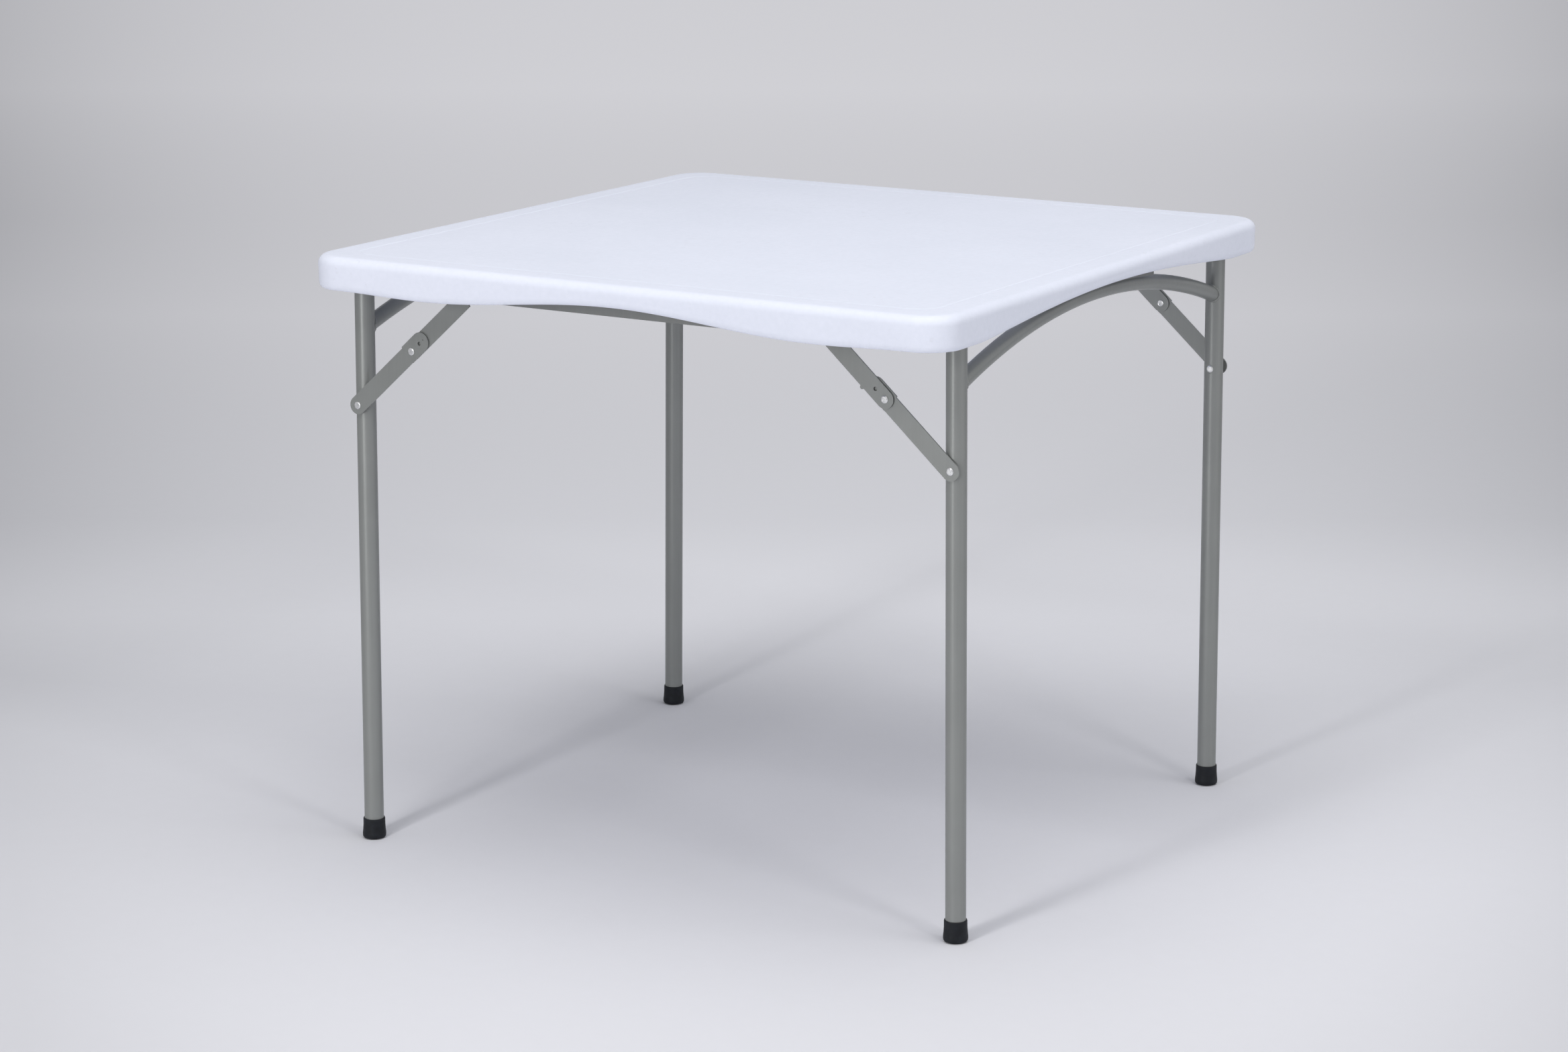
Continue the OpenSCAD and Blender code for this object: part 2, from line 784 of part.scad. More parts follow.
// The middle rivet is cut between the two plates, because the closed linkage is opened here
module mid_head_inner() {
    color("silver") {
        rod_y(mid_p, -crown_in - far_1 - seat, -crown_in - far_0, rivet_r);
        head_y(mid_p, -crown_in - far_1 - seat, rivet_head_r, rivet_head_t, -1);
    }
}

module mid_tail_inner() {
    color("silver") {
        rod_y(mid_p, -crown_in - near_1, -crown_in - near_0 + seat, rivet_r);
        rod_y(mid_p, -crown_in - near_0 + seat, -crown_in - near_0 + tail_t, rivet_head_r - 0.4);
    }
}

module mid_head_outer() {
    color("silver") {
        rod_y(mid_p, crown_out + far_0, crown_out + far_1 + seat, rivet_r);
        head_y(mid_p, crown_out + far_1 + seat, rivet_head_r, rivet_head_t, 1);
    }
}

module mid_tail_outer() {
    color("silver") {
        rod_y(mid_p, crown_out + near_0 - seat, crown_out + near_1, rivet_r);
        rod_y(mid_p, crown_out + near_0 - tail_t, crown_out + near_0 - seat, rivet_head_r - 0.4);
    }
}

tabletop();
turned() side_rail();  // side_rail_front
side_rail();  // side_rail_back
turned() end_stiffener();  // end_stiffener_left
end_stiffener();  // end_stiffener_right
pivot_bracket();  // pivot_bracket_front
turned() pivot_bracket();  // pivot_bracket_back
leg_clip();  // leg_clip_front
turned() leg_clip();  // leg_clip_back
rail_screws();
stiffener_screws();
bracket_screws();
clip_screws();
pivot_bolts();
pivot_nuts();
pivot_sleeves();
anchor_studs();
turned() leg(outer_y, 1);  // leg_front_left
turned() leg(-inner_y, -1);  // leg_back_left
leg(-inner_y, -1);  // leg_front_right
leg(outer_y, 1);  // leg_back_right
turned() arch();  // arch_left
arch();  // arch_right
turned() leg_plugs();  // leg_plugs_left
leg_plugs();  // leg_plugs_right
turned() foot(outer_y);  // foot_front_left
turned() foot(-inner_y);  // foot_back_left
foot(-inner_y);  // foot_front_right
foot(outer_y);  // foot_back_right
turned() leg_rivets();  // leg_rivets_left
leg_rivets();  // leg_rivets_right
turned() lower_link_outer();  // lower_link_front_left
turned() lower_link_inner();  // lower_link_back_left
lower_link_inner();  // lower_link_front_right
lower_link_outer();  // lower_link_back_right
turned() upper_link_outer();  // upper_link_front_left
turned() upper_link_inner();  // upper_link_back_left
upper_link_inner();  // upper_link_front_right
upper_link_outer();  // upper_link_back_right
turned() mid_head_outer();  // mid_head_front_left
turned() mid_head_inner();  // mid_head_back_left
mid_head_inner();  // mid_head_front_right
mid_head_outer();  // mid_head_back_right
turned() mid_tail_outer();  // mid_tail_front_left
turned() mid_tail_inner();  // mid_tail_back_left
mid_tail_inner();  // mid_tail_front_right
mid_tail_outer();  // mid_tail_back_right
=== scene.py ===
import json
import math

import bmesh
import bpy
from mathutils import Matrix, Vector

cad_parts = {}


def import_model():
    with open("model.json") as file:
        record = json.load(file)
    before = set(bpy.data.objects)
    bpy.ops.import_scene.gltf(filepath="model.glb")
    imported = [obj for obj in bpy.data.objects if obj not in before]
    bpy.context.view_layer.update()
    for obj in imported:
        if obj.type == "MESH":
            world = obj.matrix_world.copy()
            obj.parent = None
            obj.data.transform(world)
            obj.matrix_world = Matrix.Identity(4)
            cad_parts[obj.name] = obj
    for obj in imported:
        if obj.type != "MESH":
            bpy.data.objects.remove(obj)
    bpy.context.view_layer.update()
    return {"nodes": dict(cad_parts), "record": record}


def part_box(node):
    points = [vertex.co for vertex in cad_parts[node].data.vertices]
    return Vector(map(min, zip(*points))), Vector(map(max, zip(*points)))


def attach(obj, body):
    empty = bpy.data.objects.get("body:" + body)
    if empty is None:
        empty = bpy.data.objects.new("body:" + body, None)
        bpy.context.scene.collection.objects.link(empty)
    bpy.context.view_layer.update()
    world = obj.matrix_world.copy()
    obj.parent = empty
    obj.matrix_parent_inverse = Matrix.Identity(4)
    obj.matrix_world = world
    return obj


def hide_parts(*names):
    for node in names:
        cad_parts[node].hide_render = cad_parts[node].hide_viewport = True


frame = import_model()

# The meshes are written in millimetres, as the CAD is, and multiplied by MM.
MM = 0.001
HALF = 433.0            # half the width of the top
CORNER_R = 46.0         # radius of its corners, seen from above
TOP = 740.0             # its upper face
UNDER = 733.0           # its lower face inside the skirt


# Camera and light

PHOTO_WIDTH = 2337.0    # pixels
SENSOR = 36.0           # mm
FOCAL = 5353.49         # pixels, fitted to the photo, as the place and the angles are
CAMERA_PLACE = (2.21734, -3.77683, 1.41538)
CAMERA_DOWN = 0.23383   # radians below the horizontal
CAMERA_TURN = 0.53556   # radians about the vertical

WARM = (1.0, 0.995, 0.985)
WHITE = (1.0, 1.0, 1.0)
COOL = (0.98, 0.99, 1.0)
STRIP_PLACE = (-0.25, -4.0, 1.05)
FILL_PLACE = (4.2, 0.2, 1.7)

# name, place, aim, width, power in watts, colour, and the height where it isn't the width
LAMPS = (
    ("key_left", (-0.05, -2.72, 3.3), (0, 0, 0.55), 0.7, 22.0, WARM),
    ("key_right", (3.3, -1.57, 3.6), (0, 0, 0.55), 0.7, 22.0, WARM),
    ("strip_left", STRIP_PLACE, (0, 0, 0.7), 0.4, 54.0, WHITE, 2.05),
    ("right_fill", FILL_PLACE, (0, 0, 0.5), 2.4, 40.0, WHITE, 2.0),
    ("top_light", (0.35, -0.05, 3.4), (0, 0, 0.7), 3.0, 39.5, COOL),
    ("top_spot", (0.15, -0.3, 3.2), (0, 0, 0.7), 1.5, 9.0, COOL),
)


def look():
    cam = bpy.data.cameras.new("camera")
    cam.sensor_fit = "HORIZONTAL"
    cam.sensor_width = SENSOR
    cam.lens = FOCAL * SENSOR / PHOTO_WIDTH
    cam.clip_start = 0.05
    cam.clip_end = 200.0
    ob = bpy.data.objects.new("camera", cam)
    ob.location = CAMERA_PLACE
    ob.rotation_euler = (math.pi / 2 - CAMERA_DOWN, 0.0, CAMERA_TURN)
    bpy.context.scene.collection.objects.link(ob)
    bpy.context.scene.camera = ob


def area(name, place, aim, size, power, colour, size_y=None):
    lamp = bpy.data.lights.new(name, "AREA")
    lamp.energy = power
    lamp.color = colour
    lamp.size = size
    if size_y:
        lamp.shape = "RECTANGLE"
        lamp.size_y = size_y
    ob = bpy.data.objects.new(name, lamp)
    ob.location = place
    ob.rotation_euler = (Vector(aim) - Vector(place)).to_track_quat("-Z", "Y").to_euler()
    ob.visible_camera = False
    bpy.context.scene.collection.objects.link(ob)


def seen_directly(nt):
    """1 for camera, glossy and transmission rays, and 0 for the rays that carry light."""
    path = nt.nodes.new("ShaderNodeLightPath")
    value = path.outputs["Is Camera Ray"]
    for ray in ("Is Glossy Ray", "Is Transmission Ray"):
        most = nt.nodes.new("ShaderNodeMath")
        most.operation = "MAXIMUM"
        nt.links.new(value, most.inputs[0])
        nt.links.new(path.outputs[ray], most.inputs[1])
        value = most.outputs[0]
    return value


def background(nt, colour, strength):
    bg = nt.nodes.new("ShaderNodeBackground")
    bg.inputs["Color"].default_value = (*colour, 1)
    bg.inputs["Strength"].default_value = strength
    return bg.outputs[0]


def world():
    """Weak even light from all sides, and the pale background that is seen."""
    w = bpy.data.worlds.new("world")
    bpy.context.scene.world = w
    w.use_nodes = True
    nt = w.node_tree
    nt.nodes.clear()
    out = nt.nodes.new("ShaderNodeOutputWorld")
    mix = nt.nodes.new("ShaderNodeMixShader")
    nt.links.new(seen_directly(nt), mix.inputs[0])
    nt.links.new(background(nt, (0.95, 0.97, 1.0), 0.24), mix.inputs[1])
    nt.links.new(background(nt, (0.563, 0.561, 0.585), 1.0), mix.inputs[2])
    nt.links.new(mix.outputs[0], out.inputs[0])


# Materials. Scales are per metre of the object, bump distances are in metres.

class Mat:
    """A material and short calls for its nodes. Each call gives back the new node's output."""

    def __init__(self, name):
        self.m = bpy.data.materials.new(name)
        self.m.use_nodes = True
        self.nt = self.m.node_tree
        self.b = self.nt.nodes["Principled BSDF"]
        self.pos = self.nt.nodes.new("ShaderNodeTexCoord").outputs["Object"]

    def add(self, kind, sockets=None, **attributes):
        """A new node. This one gives back the node itself."""
        n = self.nt.nodes.new(kind)
        for k, v in attributes.items():
            setattr(n, k, v)
        for k, v in (sockets or {}).items():
            n.inputs[k].default_value = v
        return n

    def link(self, a, b):
        self.nt.links.new(a, b)

    def feed(self, sock, val):
        """Sets a number or a colour on a socket, and links anything else to it."""
        if isinstance(val, (int, float)):
            sock.default_value = val
        elif isinstance(val, tuple):
            sock.default_value = (*val, 1)
        else:
            self.link(val, sock)

    def noise(self, scale, detail=4.0, rough=0.55, vec=None):
        n = self.add("ShaderNodeTexNoise", {"Scale": scale, "Detail": detail, "Roughness": rough})
        self.link(vec or self.pos, n.inputs["Vector"])
        return n.outputs["Fac"]

    def cells(self, scale, smooth):
        n = self.add("ShaderNodeTexVoronoi", {"Scale": scale, "Smoothness": smooth},
                     feature="SMOOTH_F1")
        self.link(self.pos, n.inputs["Vector"])
        return n.outputs["Distance"]

    def dots(self, scale):
        """How far it is to the nearest of the scattered points."""
        n = self.add("ShaderNodeTexVoronoi", {"Scale": scale}, feature="F1")
        self.link(self.pos, n.inputs["Vector"])
        return n.outputs["Distance"]

    def stretched(self, x, y, z):
        n = self.add("ShaderNodeMapping", {"Scale": (x, y, z)})
        self.link(self.pos, n.inputs["Vector"])
        return n.outputs[0]

    def ramp(self, fac, low, high):
        """Colour low up to 0.3 and colour high from 0.7, which is where a noise mostly lies."""
        n = self.add("ShaderNodeValToRGB")
        for el, place, colour in zip(n.color_ramp.elements, (0.3, 0.7), (low, high)):
            el.position = place
            el.color = (*colour, 1)
        self.link(fac, n.inputs[0])
        return n.outputs[0]

    def range(self, fac, lo, hi, a=0.0, b=1.0):
        """Turns the values a to b of fac into lo to hi, clamped."""
        n = self.add("ShaderNodeMapRange",
                     {"From Min": a, "From Max": b, "To Min": lo, "To Max": hi})
        self.link(fac, n.inputs["Value"])
        return n.outputs[0]

    def mix(self, fac, a, b):
        n = self.add("ShaderNodeMix", data_type="RGBA", blend_type="MIX")
        for index, val in ((0, fac), (6, a), (7, b)):
            self.feed(n.inputs[index], val)
        return n.outputs[2]

    def math(self, op, a, b=0.0):
        n = self.add("ShaderNodeMath", operation=op)
        self.feed(n.inputs[0], a)
        self.feed(n.inputs[1], b)
        return n.outputs[0]

    def bump(self, height, dist, strength, below=None):
        n = self.add("ShaderNodeBump", {"Strength": strength, "Distance": dist})
        self.link(height, n.inputs["Height"])
        if below:
            self.link(below, n.inputs["Normal"])
        return n.outputs[0]

    def done(self, colour, rough, normal, **fixed):
        self.feed(self.b.inputs["Base Color"], colour)
        self.feed(self.b.inputs["Roughness"], rough)
        self.feed(self.b.inputs["Normal"], normal)
        for k, v in fixed.items():
            self.b.inputs[k.replace("_", " ")].default_value = v
        return self.m


def shaded(base, low, high):
    """A darker and a lighter tone of a colour, for a ramp."""
    return tuple(c * low for c in base), tuple(min(1.0, c * high) for c in base)


def white_plastic():
    """Blow-moulded top: pebble grain, faint mottling, scuffs in patches and a few dark specks."""
    m = Mat("white_plastic")
    pebble = m.cells(620.0, 0.8)
    fine = m.noise(1500.0, 3.0)
    broad = m.noise(5.0, 4.0)
    mottle = m.noise(160.0, 3.0)
    tone = m.ramp(m.mix(0.55, mottle, broad), (0.745, 0.775, 0.875), (0.80, 0.825, 0.93))
    patch = m.range(m.noise(7.0, 2.0), 0.0, 1.0, 0.50, 0.62)
    scratch = m.range(m.noise(95.0, 5.0, 0.7), 0.0, 0.30, 0.60, 0.72)
    tone = m.mix(m.math("MULTIPLY", scratch, patch), tone, (0.52, 0.53, 0.57))
    speck = m.range(m.dots(4.5), 0.75, 0.0, 0.003, 0.0045)
    tone = m.mix(speck, tone, (0.12, 0.12, 0.13))
    grain = m.bump(pebble, 0.00010, 0.55)
    grain = m.bump(fine, 0.00003, 0.5, grain)
    grain = m.bump(broad, 0.0006, 0.25, grain)
    rough = m.range(m.noise(60.0, 3.0), 0.46, 0.60)
    return m.done(tone, rough, grain, Specular_IOR_Level=0.22)


def paint(name, base):
    """Satin powder paint with metal flake, faint streaks along z and a fine orange peel."""
    m = Mat(name)
    peel = m.noise(420.0, 2.0, 0.45)
    broad = m.noise(14.0, 3.0)
    streak = m.noise(260.0, 3.0, 0.5, m.stretched(1.0, 1.0, 0.04))
    fine = m.noise(1400.0, 2.0)
    tone = m.ramp(m.mix(0.45, m.mix(0.4, streak, fine), broad), *shaded(base, 0.93, 1.07))
    skin = m.bump(peel, 0.00003, 0.35)
    skin = m.bump(fine, 0.00001, 0.4, skin)
    rough = m.range(m.noise(180.0, 3.0), 0.33, 0.43)
    return m.done(tone, rough, skin, Metallic=0.3, Specular_IOR_Level=0.6)


def zinc():
    """Plated rivets, bolts and screws."""
    m = Mat("zinc")
    wear = m.noise(500.0, 4.0)
    tone = m.ramp(wear, (0.66, 0.67, 0.68), (0.90, 0.90, 0.89))
    rough = m.range(wear, 0.20, 0.36)
    return m.done(tone, rough, m.bump(m.noise(2200.0, 2.0), 0.00003, 0.4), Metallic=1.0)


def moulded(name, base, rough_lo, rough_hi, grain=0.00005, gloss=0.4):
    """Small moulded pieces of plastic, nylon or rubber."""
    m = Mat(name)
    tone = m.ramp(m.noise(120.0, 4.0), *shaded(base, 0.75, 1.35))
    skin = m.bump(m.noise(1600.0, 3.0), grain, 0.6)
    rough = m.range(m.noise(300.0, 3.0), rough_lo, rough_hi)
    return m.done(tone, rough, skin, Specular_IOR_Level=gloss)


# The floor paper, with painted shade and painted light that follow fixed places on the floor,
# given as distances along the line from the photo's side through the table, and across it.
VIEW_SIN, VIEW_COS = 0.5103, 0.860
PHOTO_SIDE = 4.38       # metres from the middle of the table back to the photo's side
NEAR_LIMIT = 2.0        # nearer than this, nothing changes any more
ALL_ROUND = 2.0         # radius beyond which the lift goes all round the table
BLACK = (0.0, 0.0, 0.0)


def floor_mat():
    m = Mat("floor")
    place = m.add("ShaderNodeSeparateXYZ")
    m.link(m.pos, place.inputs[0])
    x, y = place.outputs[0], place.outputs[1]
    across = m.math("ADD", m.math("MULTIPLY", x, VIEW_COS), m.math("MULTIPLY", y, VIEW_SIN))
    along = m.math("ADD", m.math("MULTIPLY", x, -VIEW_SIN), m.math("MULTIPLY", y, VIEW_COS))
    radius = m.add("ShaderNodeVectorMath", operation="LENGTH")
    m.link(m.stretched(1, 1, 0), radius.inputs[0])
    along = m.math("MAXIMUM", along, m.math("SUBTRACT", radius.outputs["Value"], ALL_ROUND))
    away = m.math("MAXIMUM", m.math("ADD", along, PHOTO_SIDE), NEAR_LIMIT)
    side = m.math("MINIMUM", m.math("ABSOLUTE", m.math("DIVIDE", across, away)), 0.23)
    # how strongly painted shade darkens the paper toward both sides; it also weakens the painted
    # glow there
    edge = m.math("MULTIPLY", m.math("POWER", side, 3.0), 11.0)

    # paper colour with a faint fleck, and painted shade that makes it darker toward both sides and
    # a little in the foreground
    broad = m.noise(0.35, 2.0)
    fleck = m.noise(40.0, 3.0)
    tone = m.mix(m.range(broad, 0.0, 1.0), (0.863, 0.861, 0.908), (0.883, 0.88, 0.923))
    tone = m.mix(m.range(fleck, 0.0, 0.04), tone, (0.5, 0.5, 0.52))
    front = m.range(away, 0.06, 0.0, 3.55, 4.1)
    tone = m.mix(m.math("ADD", edge, front), tone, BLACK)

    # painted shade right in front of the two low lamps: less paper colour there darkens the pools
    # of their light, which the photo doesn't show
    for lamp, most, reach in ((STRIP_PLACE, 0.85, 2.4), (FILL_PLACE, 0.45, 2.2)):
        near = m.add("ShaderNodeVectorMath", operation="DISTANCE")
        m.link(m.pos, near.inputs[0])
        near.inputs[1].default_value = (lamp[0], lamp[1], 0.0)
        tone = m.mix(m.range(near.outputs["Value"], most, 0.0, 0.2, reach), tone, BLACK)

    # painted light: far from the table the lamps don't reach the paper, so what is seen of it
    # there is lifted by a glow, which is weaker toward both sides
    lift = m.math("ADD", m.range(away, 0.0, 0.075, 4.85, 5.35), m.range(away, 0.0, 0.20, 6.0, 8.0))
    lift = m.math("ADD", lift, m.range(away, 0.0, 0.135, 8.0, 12.5))
    loss = m.math("MULTIPLY", edge, m.range(away, 0.2, 1.2, 5.5, 9.5))
    lift = m.math("MAXIMUM", m.math("SUBTRACT", lift, loss), 0.0)
    m.link(m.math("MULTIPLY", lift, seen_directly(m.nt)), m.b.inputs["Emission Strength"])

    # the paper has no back, so the underside of the table can be looked at
    geo = m.add("ShaderNodeNewGeometry")
    clear = m.add("ShaderNodeBsdfTransparent")
    both = m.add("ShaderNodeMixShader")
    m.link(geo.outputs["Backfacing"], both.inputs[0])
    m.link(m.b.outputs[0], both.inputs[1])
    m.link(clear.outputs[0], both.inputs[2])
    m.link(both.outputs[0], m.nt.nodes["Material Output"].inputs["Surface"])
    # the emission colour is the colour of the painted glow
    return m.done(tone, 0.85, m.bump(m.noise(300.0, 2.0), 0.0001, 0.2),
                  Specular_IOR_Level=0.1, Emission_Color=(0.975, 0.967, 1.0, 1.0))


# Meshes

def obj_of(name, bm, mat, sharp=38.0):
    """An object of a bmesh, shaded smooth up to an angle of sharp degrees."""
    me = bpy.data.meshes.new(name)
    bmesh.ops.recalc_face_normals(bm, faces=bm.faces)
    bm.to_mesh(me)
    bm.free()
    for p in me.polygons:
        p.use_smooth = True
    me.set_sharp_from_angle(angle=math.radians(sharp))
    me.materials.append(mat)
    ob = bpy.data.objects.new(name, me)
    bpy.context.scene.collection.objects.link(ob)
    return ob


# The top. Sides 0 and 2 are the front and the back, 1 and 3 the right and the left.
SIDE_STEPS = 96         # points along a side
CORNER_STEPS = 14       # points round a corner
EDGE_HALF = HALF - CORNER_R
SKIRT_Z = TOP - 43.0    # the lowest line of the skirt
CORNER_RISE = 2.7       # how much higher the skirt ends at the corners
FRONT_WAVE, FRONT_REACH = 16.6, 265.0
SIDE_ARC, SIDE_REACH = 18.6, 340.0
RIM_IN, RIM_DOWN, RIM_STEPS = 12.5, 11.0, 11
FOLD_IN, FOLD_UP, FOLD_STEPS = 5.0, 8.0, 8
FOLD_START = 0.4        # inset where the round of the skirt's lower edge starts
GROOVE_HALF, GROOVE_R = 394.0, 32.0
GROOVE = ((-4.2, 0.0), (-2.9, 0.02), (-2.2, 0.34), (-1.6, 0.5),     # outward, depth
          (-0.9, 0.34), (-0.2, 0.02), (1.1, 0.0))
SHOULDER = (HALF - 22.0, 38.0, TOP)
FIELD_HALF, FIELD_R = 300.0, 30.0
FIELD_EDGE = ((2.0, 0.0), (0.4, 0.5), (0.0, 2.0), (0.0, 9.2),       # outward, depth
              (-0.6, 10.6), (-2.0, 11.0))
FIELD_Z = UNDER - 11.0  # the flat of the hollow field, below the skin
DIMPLES, PITCH, DIMPLE_SIDES = 8, 75.0, 24
DIMPLE = ((17.2, 0.0), (16.2, 0.35), (15.5, 1.2),                   # radius, height
          (8.2, 12.8), (7.4, 13.7), (6.2, 14.0))


def front_wave(s):
    """The lower edge's height over SKIRT_Z at the front and back, s along from the middle."""
    s = abs(s)
    if s < FRONT_REACH:
        return FRONT_WAVE * (0.5 + 0.5 * math.cos(math.pi * s / FRONT_REACH))
    t = min(1.0, (s - FRONT_REACH) / (EDGE_HALF - FRONT_REACH))
    return CORNER_RISE * (0.5 - 0.5 * math.cos(math.pi * t))


def side_wave(s):
    """The same for the right and the left side, which have one plain arc."""
    s = abs(s)
    if s < SIDE_REACH:
        return CORNER_RISE + SIDE_ARC * (1 - s * s / SIDE_REACH ** 2) ** 1.3
    return CORNER_RISE


# (kind, side, place) all the way round: place is -1 to 1 on a side and 0 to 1 on a corner
SAMPLES = []
for k in range(4):
    SAMPLES += [("side", k, -1.0 + 2.0 * i / SIDE_STEPS) for i in range(SIDE_STEPS)]
    SAMPLES += [("corner", k, i / CORNER_STEPS) for i in range(CORNER_STEPS)]


def turn(k, x, y):
    """A point turned by k quarter turns."""
    return ((x, y), (-y, x), (-x, -y), (y, -x))[k]


def ring(bm, half, r, z):
    """A closed ring of vertices round a rounded square. z is a height, or a function of the
    height of the skirt's lower edge."""
    c = half - r
    vs = []
    for kind, k, t in SAMPLES:
        if kind == "side":
            x, y = t * c, -half
            lift = (side_wave if k in (1, 3) else front_wave)(t * EDGE_HALF)
        else:
            a = -math.pi / 2 + t * math.pi / 2
            x, y = c + r * math.cos(a), -c + r * math.sin(a)
            lift = CORNER_RISE
        x, y = turn(k, x, y)
        h = z(SKIRT_Z + lift) if callable(z) else z
        vs.append(bm.verts.new((x * MM, y * MM, h * MM)))
    return vs


def bridge(bm, a, b):
    """Faces between two closed rows of vertices of the same length."""
    n = len(a)
    for i in range(n):
        j = (i + 1) % n
        bm.faces.new((a[i], a[j], b[j], b[i]))


def loop_edges(bm, vs):
    """The edges of a closed row of vertices, made where they aren't there yet."""
    out = []
    for i in range(len(vs)):
        a, b = vs[i], vs[(i + 1) % len(vs)]
        out.append(bm.edges.get((a, b)) or bm.edges.new((a, b)))
    return out


def dimple(bm, cx, cy):
    """A closed cone that reaches up from the field. Gives back the edges of its open end."""
    rows = []
    for r, up in DIMPLE:
        rows.append([bm.verts.new(((cx + r * math.cos(2 * math.pi * k / DIMPLE_SIDES)) * MM,
                                   (cy + r * math.sin(2 * math.pi * k / DIMPLE_SIDES)) * MM,
                                   (FIELD_Z + up) * MM)) for k in range(DIMPLE_SIDES)])
    edges = loop_edges(bm, rows[0])
    for a, b in zip(rows[:-1], rows[1:]):
        bridge(bm, a, b)
    bm.faces.new(rows[-1])
    return edges


def inset(d, z):
    """A row of the outer side, d inside the full outline."""
    return HALF - d, CORNER_R - d, z


def table_top(mat):
    # half width, corner radius and height of each ring, from the middle out, down and back in
    rows = [(GROOVE_HALF + out, GROOVE_R + out, TOP - deep) for out, deep in GROOVE] + [SHOULDER]
    for i in range(RIM_STEPS + 1):
        a = math.pi / 2 * i / RIM_STEPS
        rows.append(inset(RIM_IN - RIM_IN * math.sin(a), TOP - RIM_DOWN + RIM_DOWN * math.cos(a)))
    rows.append(inset(0.25, lambda e: 0.5 * (TOP - RIM_DOWN + e + FOLD_UP)))
    for i in range(FOLD_STEPS + 1):
        a = math.pi / 2 * i / FOLD_STEPS
        rows.append(inset(FOLD_START + FOLD_IN - FOLD_IN * math.cos(a),
                          lambda e, a=a: e + FOLD_UP - FOLD_UP * math.sin(a)))
    rows += [inset(7.0, lambda e: e), inset(8.0, lambda e: e + 1.0), inset(8.0, UNDER - 3.0),
             inset(8.9, UNDER - 0.9), inset(11.0, UNDER)]
    rows += [(FIELD_HALF + out, FIELD_R + out, UNDER - down) for out, down in FIELD_EDGE]

    bm = bmesh.new()
    rings = [ring(bm, *row) for row in rows]
    for a, b in zip(rings[:-1], rings[1:]):
        bridge(bm, a, b)
    bm.faces.new(rings[0])
    edges = loop_edges(bm, rings[-1])
    first = -0.5 * PITCH * (DIMPLES - 1)
    for i in range(DIMPLES):
        for j in range(DIMPLES):
            edges += dimple(bm, first + PITCH * i, first + PITCH * j)
    bmesh.ops.triangle_fill(bm, use_beauty=True, use_dissolve=False, edges=edges)
    return obj_of("table_top_moulded", bm, mat, 50)


# The leg frames, at the right side. The left one is the same, turned by 180 degrees.
HINGE_X, HINGE_Z = 393.0, 711.0
LEAN = math.tan(math.radians(0.6))      # of the legs, outward
LEG_R = 12.0
INNER_LEG, OUTER_LEG = -330.0, 366.0    # y of the two legs
ARCH_TUBE = 9.5                         # radius of its tube
ARCH_R, ARCH_X, ARCH_Y = 1113.6, 393.2, 18.0
ARCH_Z = HINGE_Z - ARCH_TUBE - ARCH_R   # centre of the arch
BEAD_STEPS, BEAD_SIDES = 72, 10


def weld_bead(name, side, leg_y, toward, mat):
    """The painted weld where an arch end meets a leg. toward is the way from the leg to the arch
    along y."""
    bm = bmesh.new()
    proud = 0.3
    path = []
    for i in range(BEAD_STEPS):
        a = 2 * math.pi * i / BEAD_STEPS
        r = ARCH_TUBE + proud
        x = ARCH_X + r * math.cos(a)
        z = 650.0
        for _ in range(3):              # the leg's lean and the arch's height need each other
            leg_x = HINGE_X + (HINGE_Z - z) * LEAN
            gap = min(LEG_R, abs(x - leg_x))
            y = leg_y + toward * math.sqrt((LEG_R + 0.1) ** 2 - gap ** 2)
            z = ARCH_Z + math.sqrt((ARCH_R + r * math.sin(a)) ** 2 - (y - ARCH_Y) ** 2)
        path.append(Vector((x, y + toward * proud, z)))
    rows = []
    for i, p in enumerate(path):
        t = (path[(i + 1) % BEAD_STEPS] - path[i - 1]).normalized()
        u = Vector((0, 1, 0)).cross(t).normalized()
        v = t.cross(u)
        k = i / BEAD_STEPS * 2 * math.pi
        fat = (1.25 + 0.18 * math.sin(11 * k) + 0.12 * math.sin(17 * k + 1.3)
               + 0.1 * math.sin(5 * k + 0.4))
        row = []
        for j in range(BEAD_SIDES):
            b = 2 * math.pi * j / BEAD_SIDES
            q = p + (u * math.cos(b) + v * math.sin(b)) * fat
            row.append(bm.verts.new((side * q.x * MM, side * q.y * MM, q.z * MM)))
        rows.append(row)
    for i in range(BEAD_STEPS):
        bridge(bm, rows[i], rows[(i + 1) % BEAD_STEPS])
    ob = obj_of(name, bm, mat, 80)
    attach(ob, "right_frame" if side > 0 else "left_frame")


TAIL_DISC = 1.0         # thickness of the wide part of a rivet's tail
SHANK_R = 2.6
RIVET_SIDES = 32


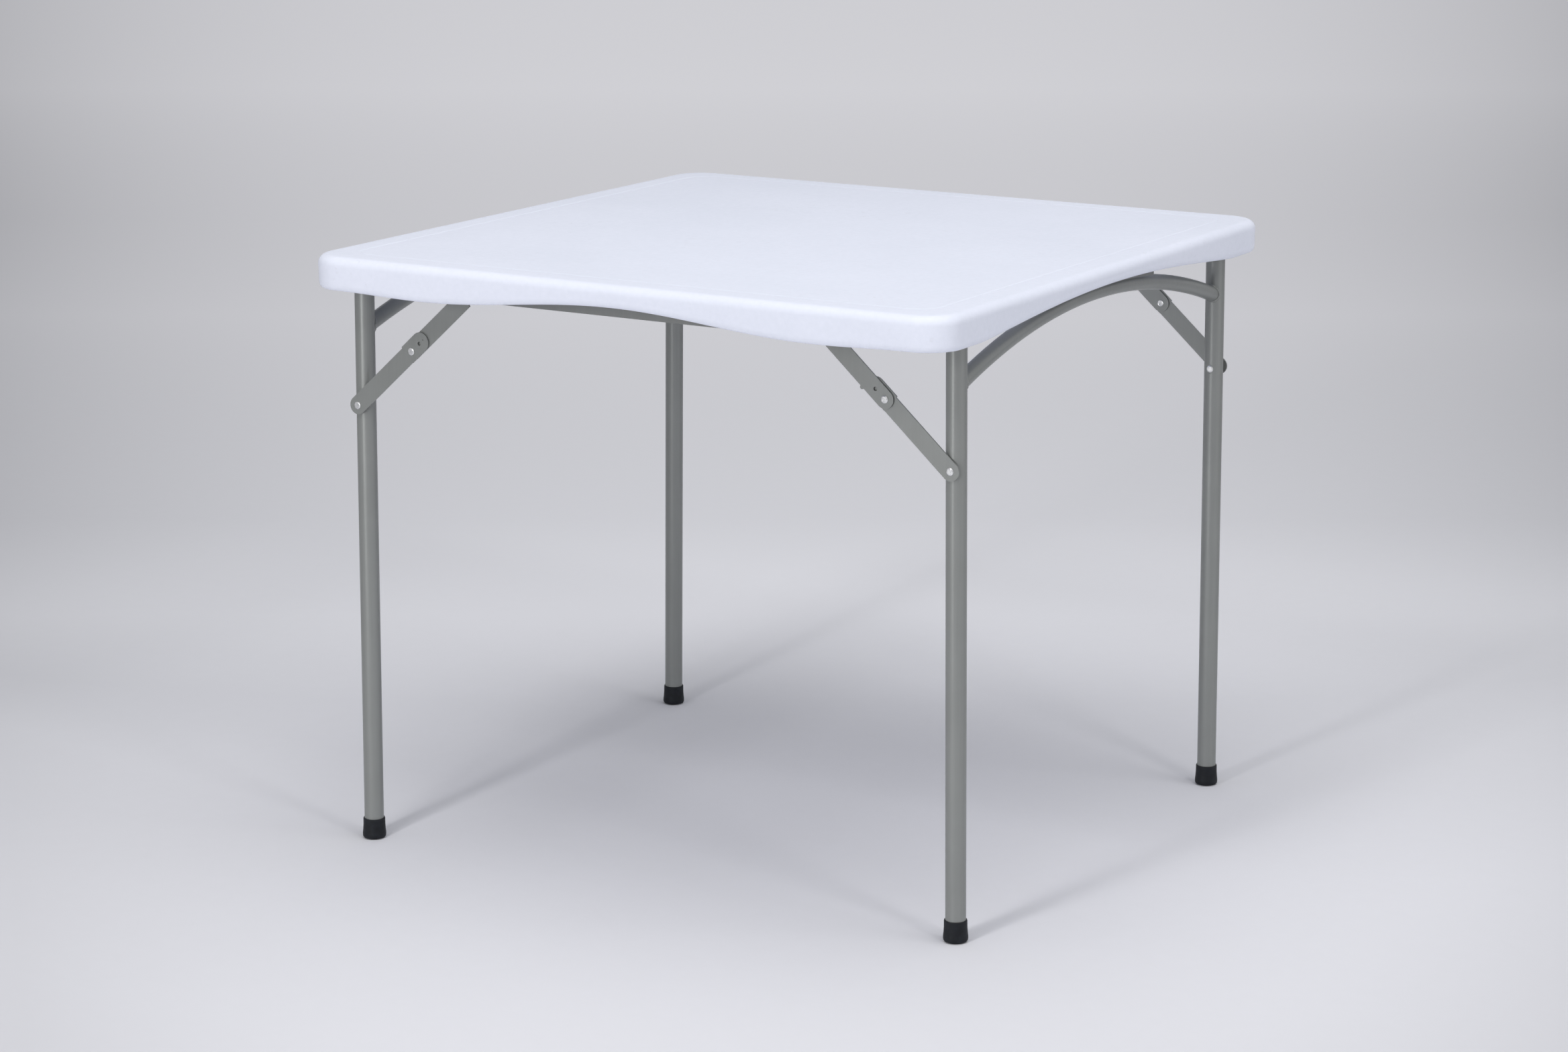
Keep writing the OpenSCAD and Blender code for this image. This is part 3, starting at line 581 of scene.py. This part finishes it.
def rolled_end(node, mat):
    """The rolled tail of a middle rivet, with its rim and its hollow, inside the plain tail it
    stands for."""
    lo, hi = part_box(node)
    cx, cz = 0.5 * (lo[0] + hi[0]), 0.5 * (lo[2] + hi[2])
    inward = -1.0 if lo[1] + hi[1] > 0 else 1.0
    face = lo[1] if inward < 0 else hi[1]
    r, length = 0.5 * (hi[0] - lo[0]) / MM, (hi[1] - lo[1]) / MM
    # radius and depth below the tail's face, from the middle of the hollow outward
    profile = ((0.0, 1.3), (0.8, 1.3), (0.9, 0.35), (1.15, 0.12), (1.45, 0.12), (1.7, 0.42),
               (2.5, 0.46), (2.8, 0.12), (3.1, 0.0), (r - 0.45, 0.0), (r - 0.12, 0.12), (r, 0.4),
               (r, TAIL_DISC), (SHANK_R, TAIL_DISC), (SHANK_R, length), (0.0, length))
    bm = bmesh.new()
    prev = None
    for pr, pt in profile:
        y = face - inward * pt * MM
        if pr == 0.0:
            row = [bm.verts.new((cx, y, cz))]
        else:
            angles = [2 * math.pi * k / RIVET_SIDES for k in range(RIVET_SIDES)]
            row = [bm.verts.new((cx + pr * MM * math.cos(a), y, cz + pr * MM * math.sin(a)))
                   for a in angles]
        if prev:
            for k in range(RIVET_SIDES):
                a, b = prev[k % len(prev)], prev[(k + 1) % len(prev)]
                c, d = row[(k + 1) % len(row)], row[k % len(row)]
                # a triangle where one of the rows is a single point
                bm.faces.new([v for i, v in enumerate((a, b, c, d)) if v not in (a, b, c, d)[:i]])
        prev = row
    return obj_of(node.replace("mid_tail", "rolled_end"), bm, mat, 40)


# Materials of the CAD nodes, and small rounds on their sharp edges

MATS = {
    "white_plastic": white_plastic(),
    "frame_paint": paint("frame_paint", (0.243, 0.252, 0.244)),
    "grey_sheet": paint("grey_sheet", (0.20, 0.206, 0.20)),
    "zinc": zinc(),
    "dark_plastic": moulded("dark_plastic", (0.03, 0.03, 0.032), 0.40, 0.55),
    "white_nylon": moulded("white_nylon", (0.66, 0.65, 0.60), 0.35, 0.5),
    "foot_rubber": moulded("foot_rubber", (0.009, 0.0105, 0.0135), 0.5, 0.66, 0.00008, 0.22),
}
BODIES = frame["record"]["behaviour"]["bodies"]
BODY_OF = {node: body for body, nodes in BODIES.items() for node in nodes}
SLOT_OF = {s["node"]: s["material_slot"] for s in frame["record"]["subparts"]}
# width of the round in mm, by how the names of sheet metal and mouldings start
SOFT_EDGES = {"lower_link": 0.3, "upper_link": 0.3, "side_rail": 0.4, "end_stiffener": 0.4,
              "pivot_bracket": 0.4, "leg_clip": 0.6}

for name, node in frame["nodes"].items():
    node.data.materials.clear()
    node.data.materials.append(MATS[SLOT_OF[name]])
    for start, width in SOFT_EDGES.items():
        if name.startswith(start):
            mod = node.modifiers.new("soft_edges", "BEVEL")
            mod.width = width * MM
            mod.segments = 2
            mod.limit_method = "ANGLE"
            mod.angle_limit = math.radians(50)
            mod.harden_normals = True

# Pieces that the CAD leaves out or has plainer

for side, word in ((1, "right"), (-1, "left")):
    weld_bead("weld_inner_" + word, side, INNER_LEG, 1, MATS["frame_paint"])
    weld_bead("weld_outer_" + word, side, OUTER_LEG, -1, MATS["frame_paint"])

for name in [n for n in frame["nodes"] if n.startswith("mid_tail_")]:
    piece = rolled_end(name, MATS["zinc"])
    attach(piece, BODY_OF[name])
    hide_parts(name)

top = table_top(MATS["white_plastic"])
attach(top, "top_frame")
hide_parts("tabletop")

# Floor, camera, light

bm = bmesh.new()
bmesh.ops.create_grid(bm, x_segments=4, y_segments=4, size=40.0)
floor = obj_of("floor", bm, floor_mat())

look()
world()
for lamp in LAMPS:
    area(*lamp)
bpy.context.scene.view_settings.view_transform = "Standard"
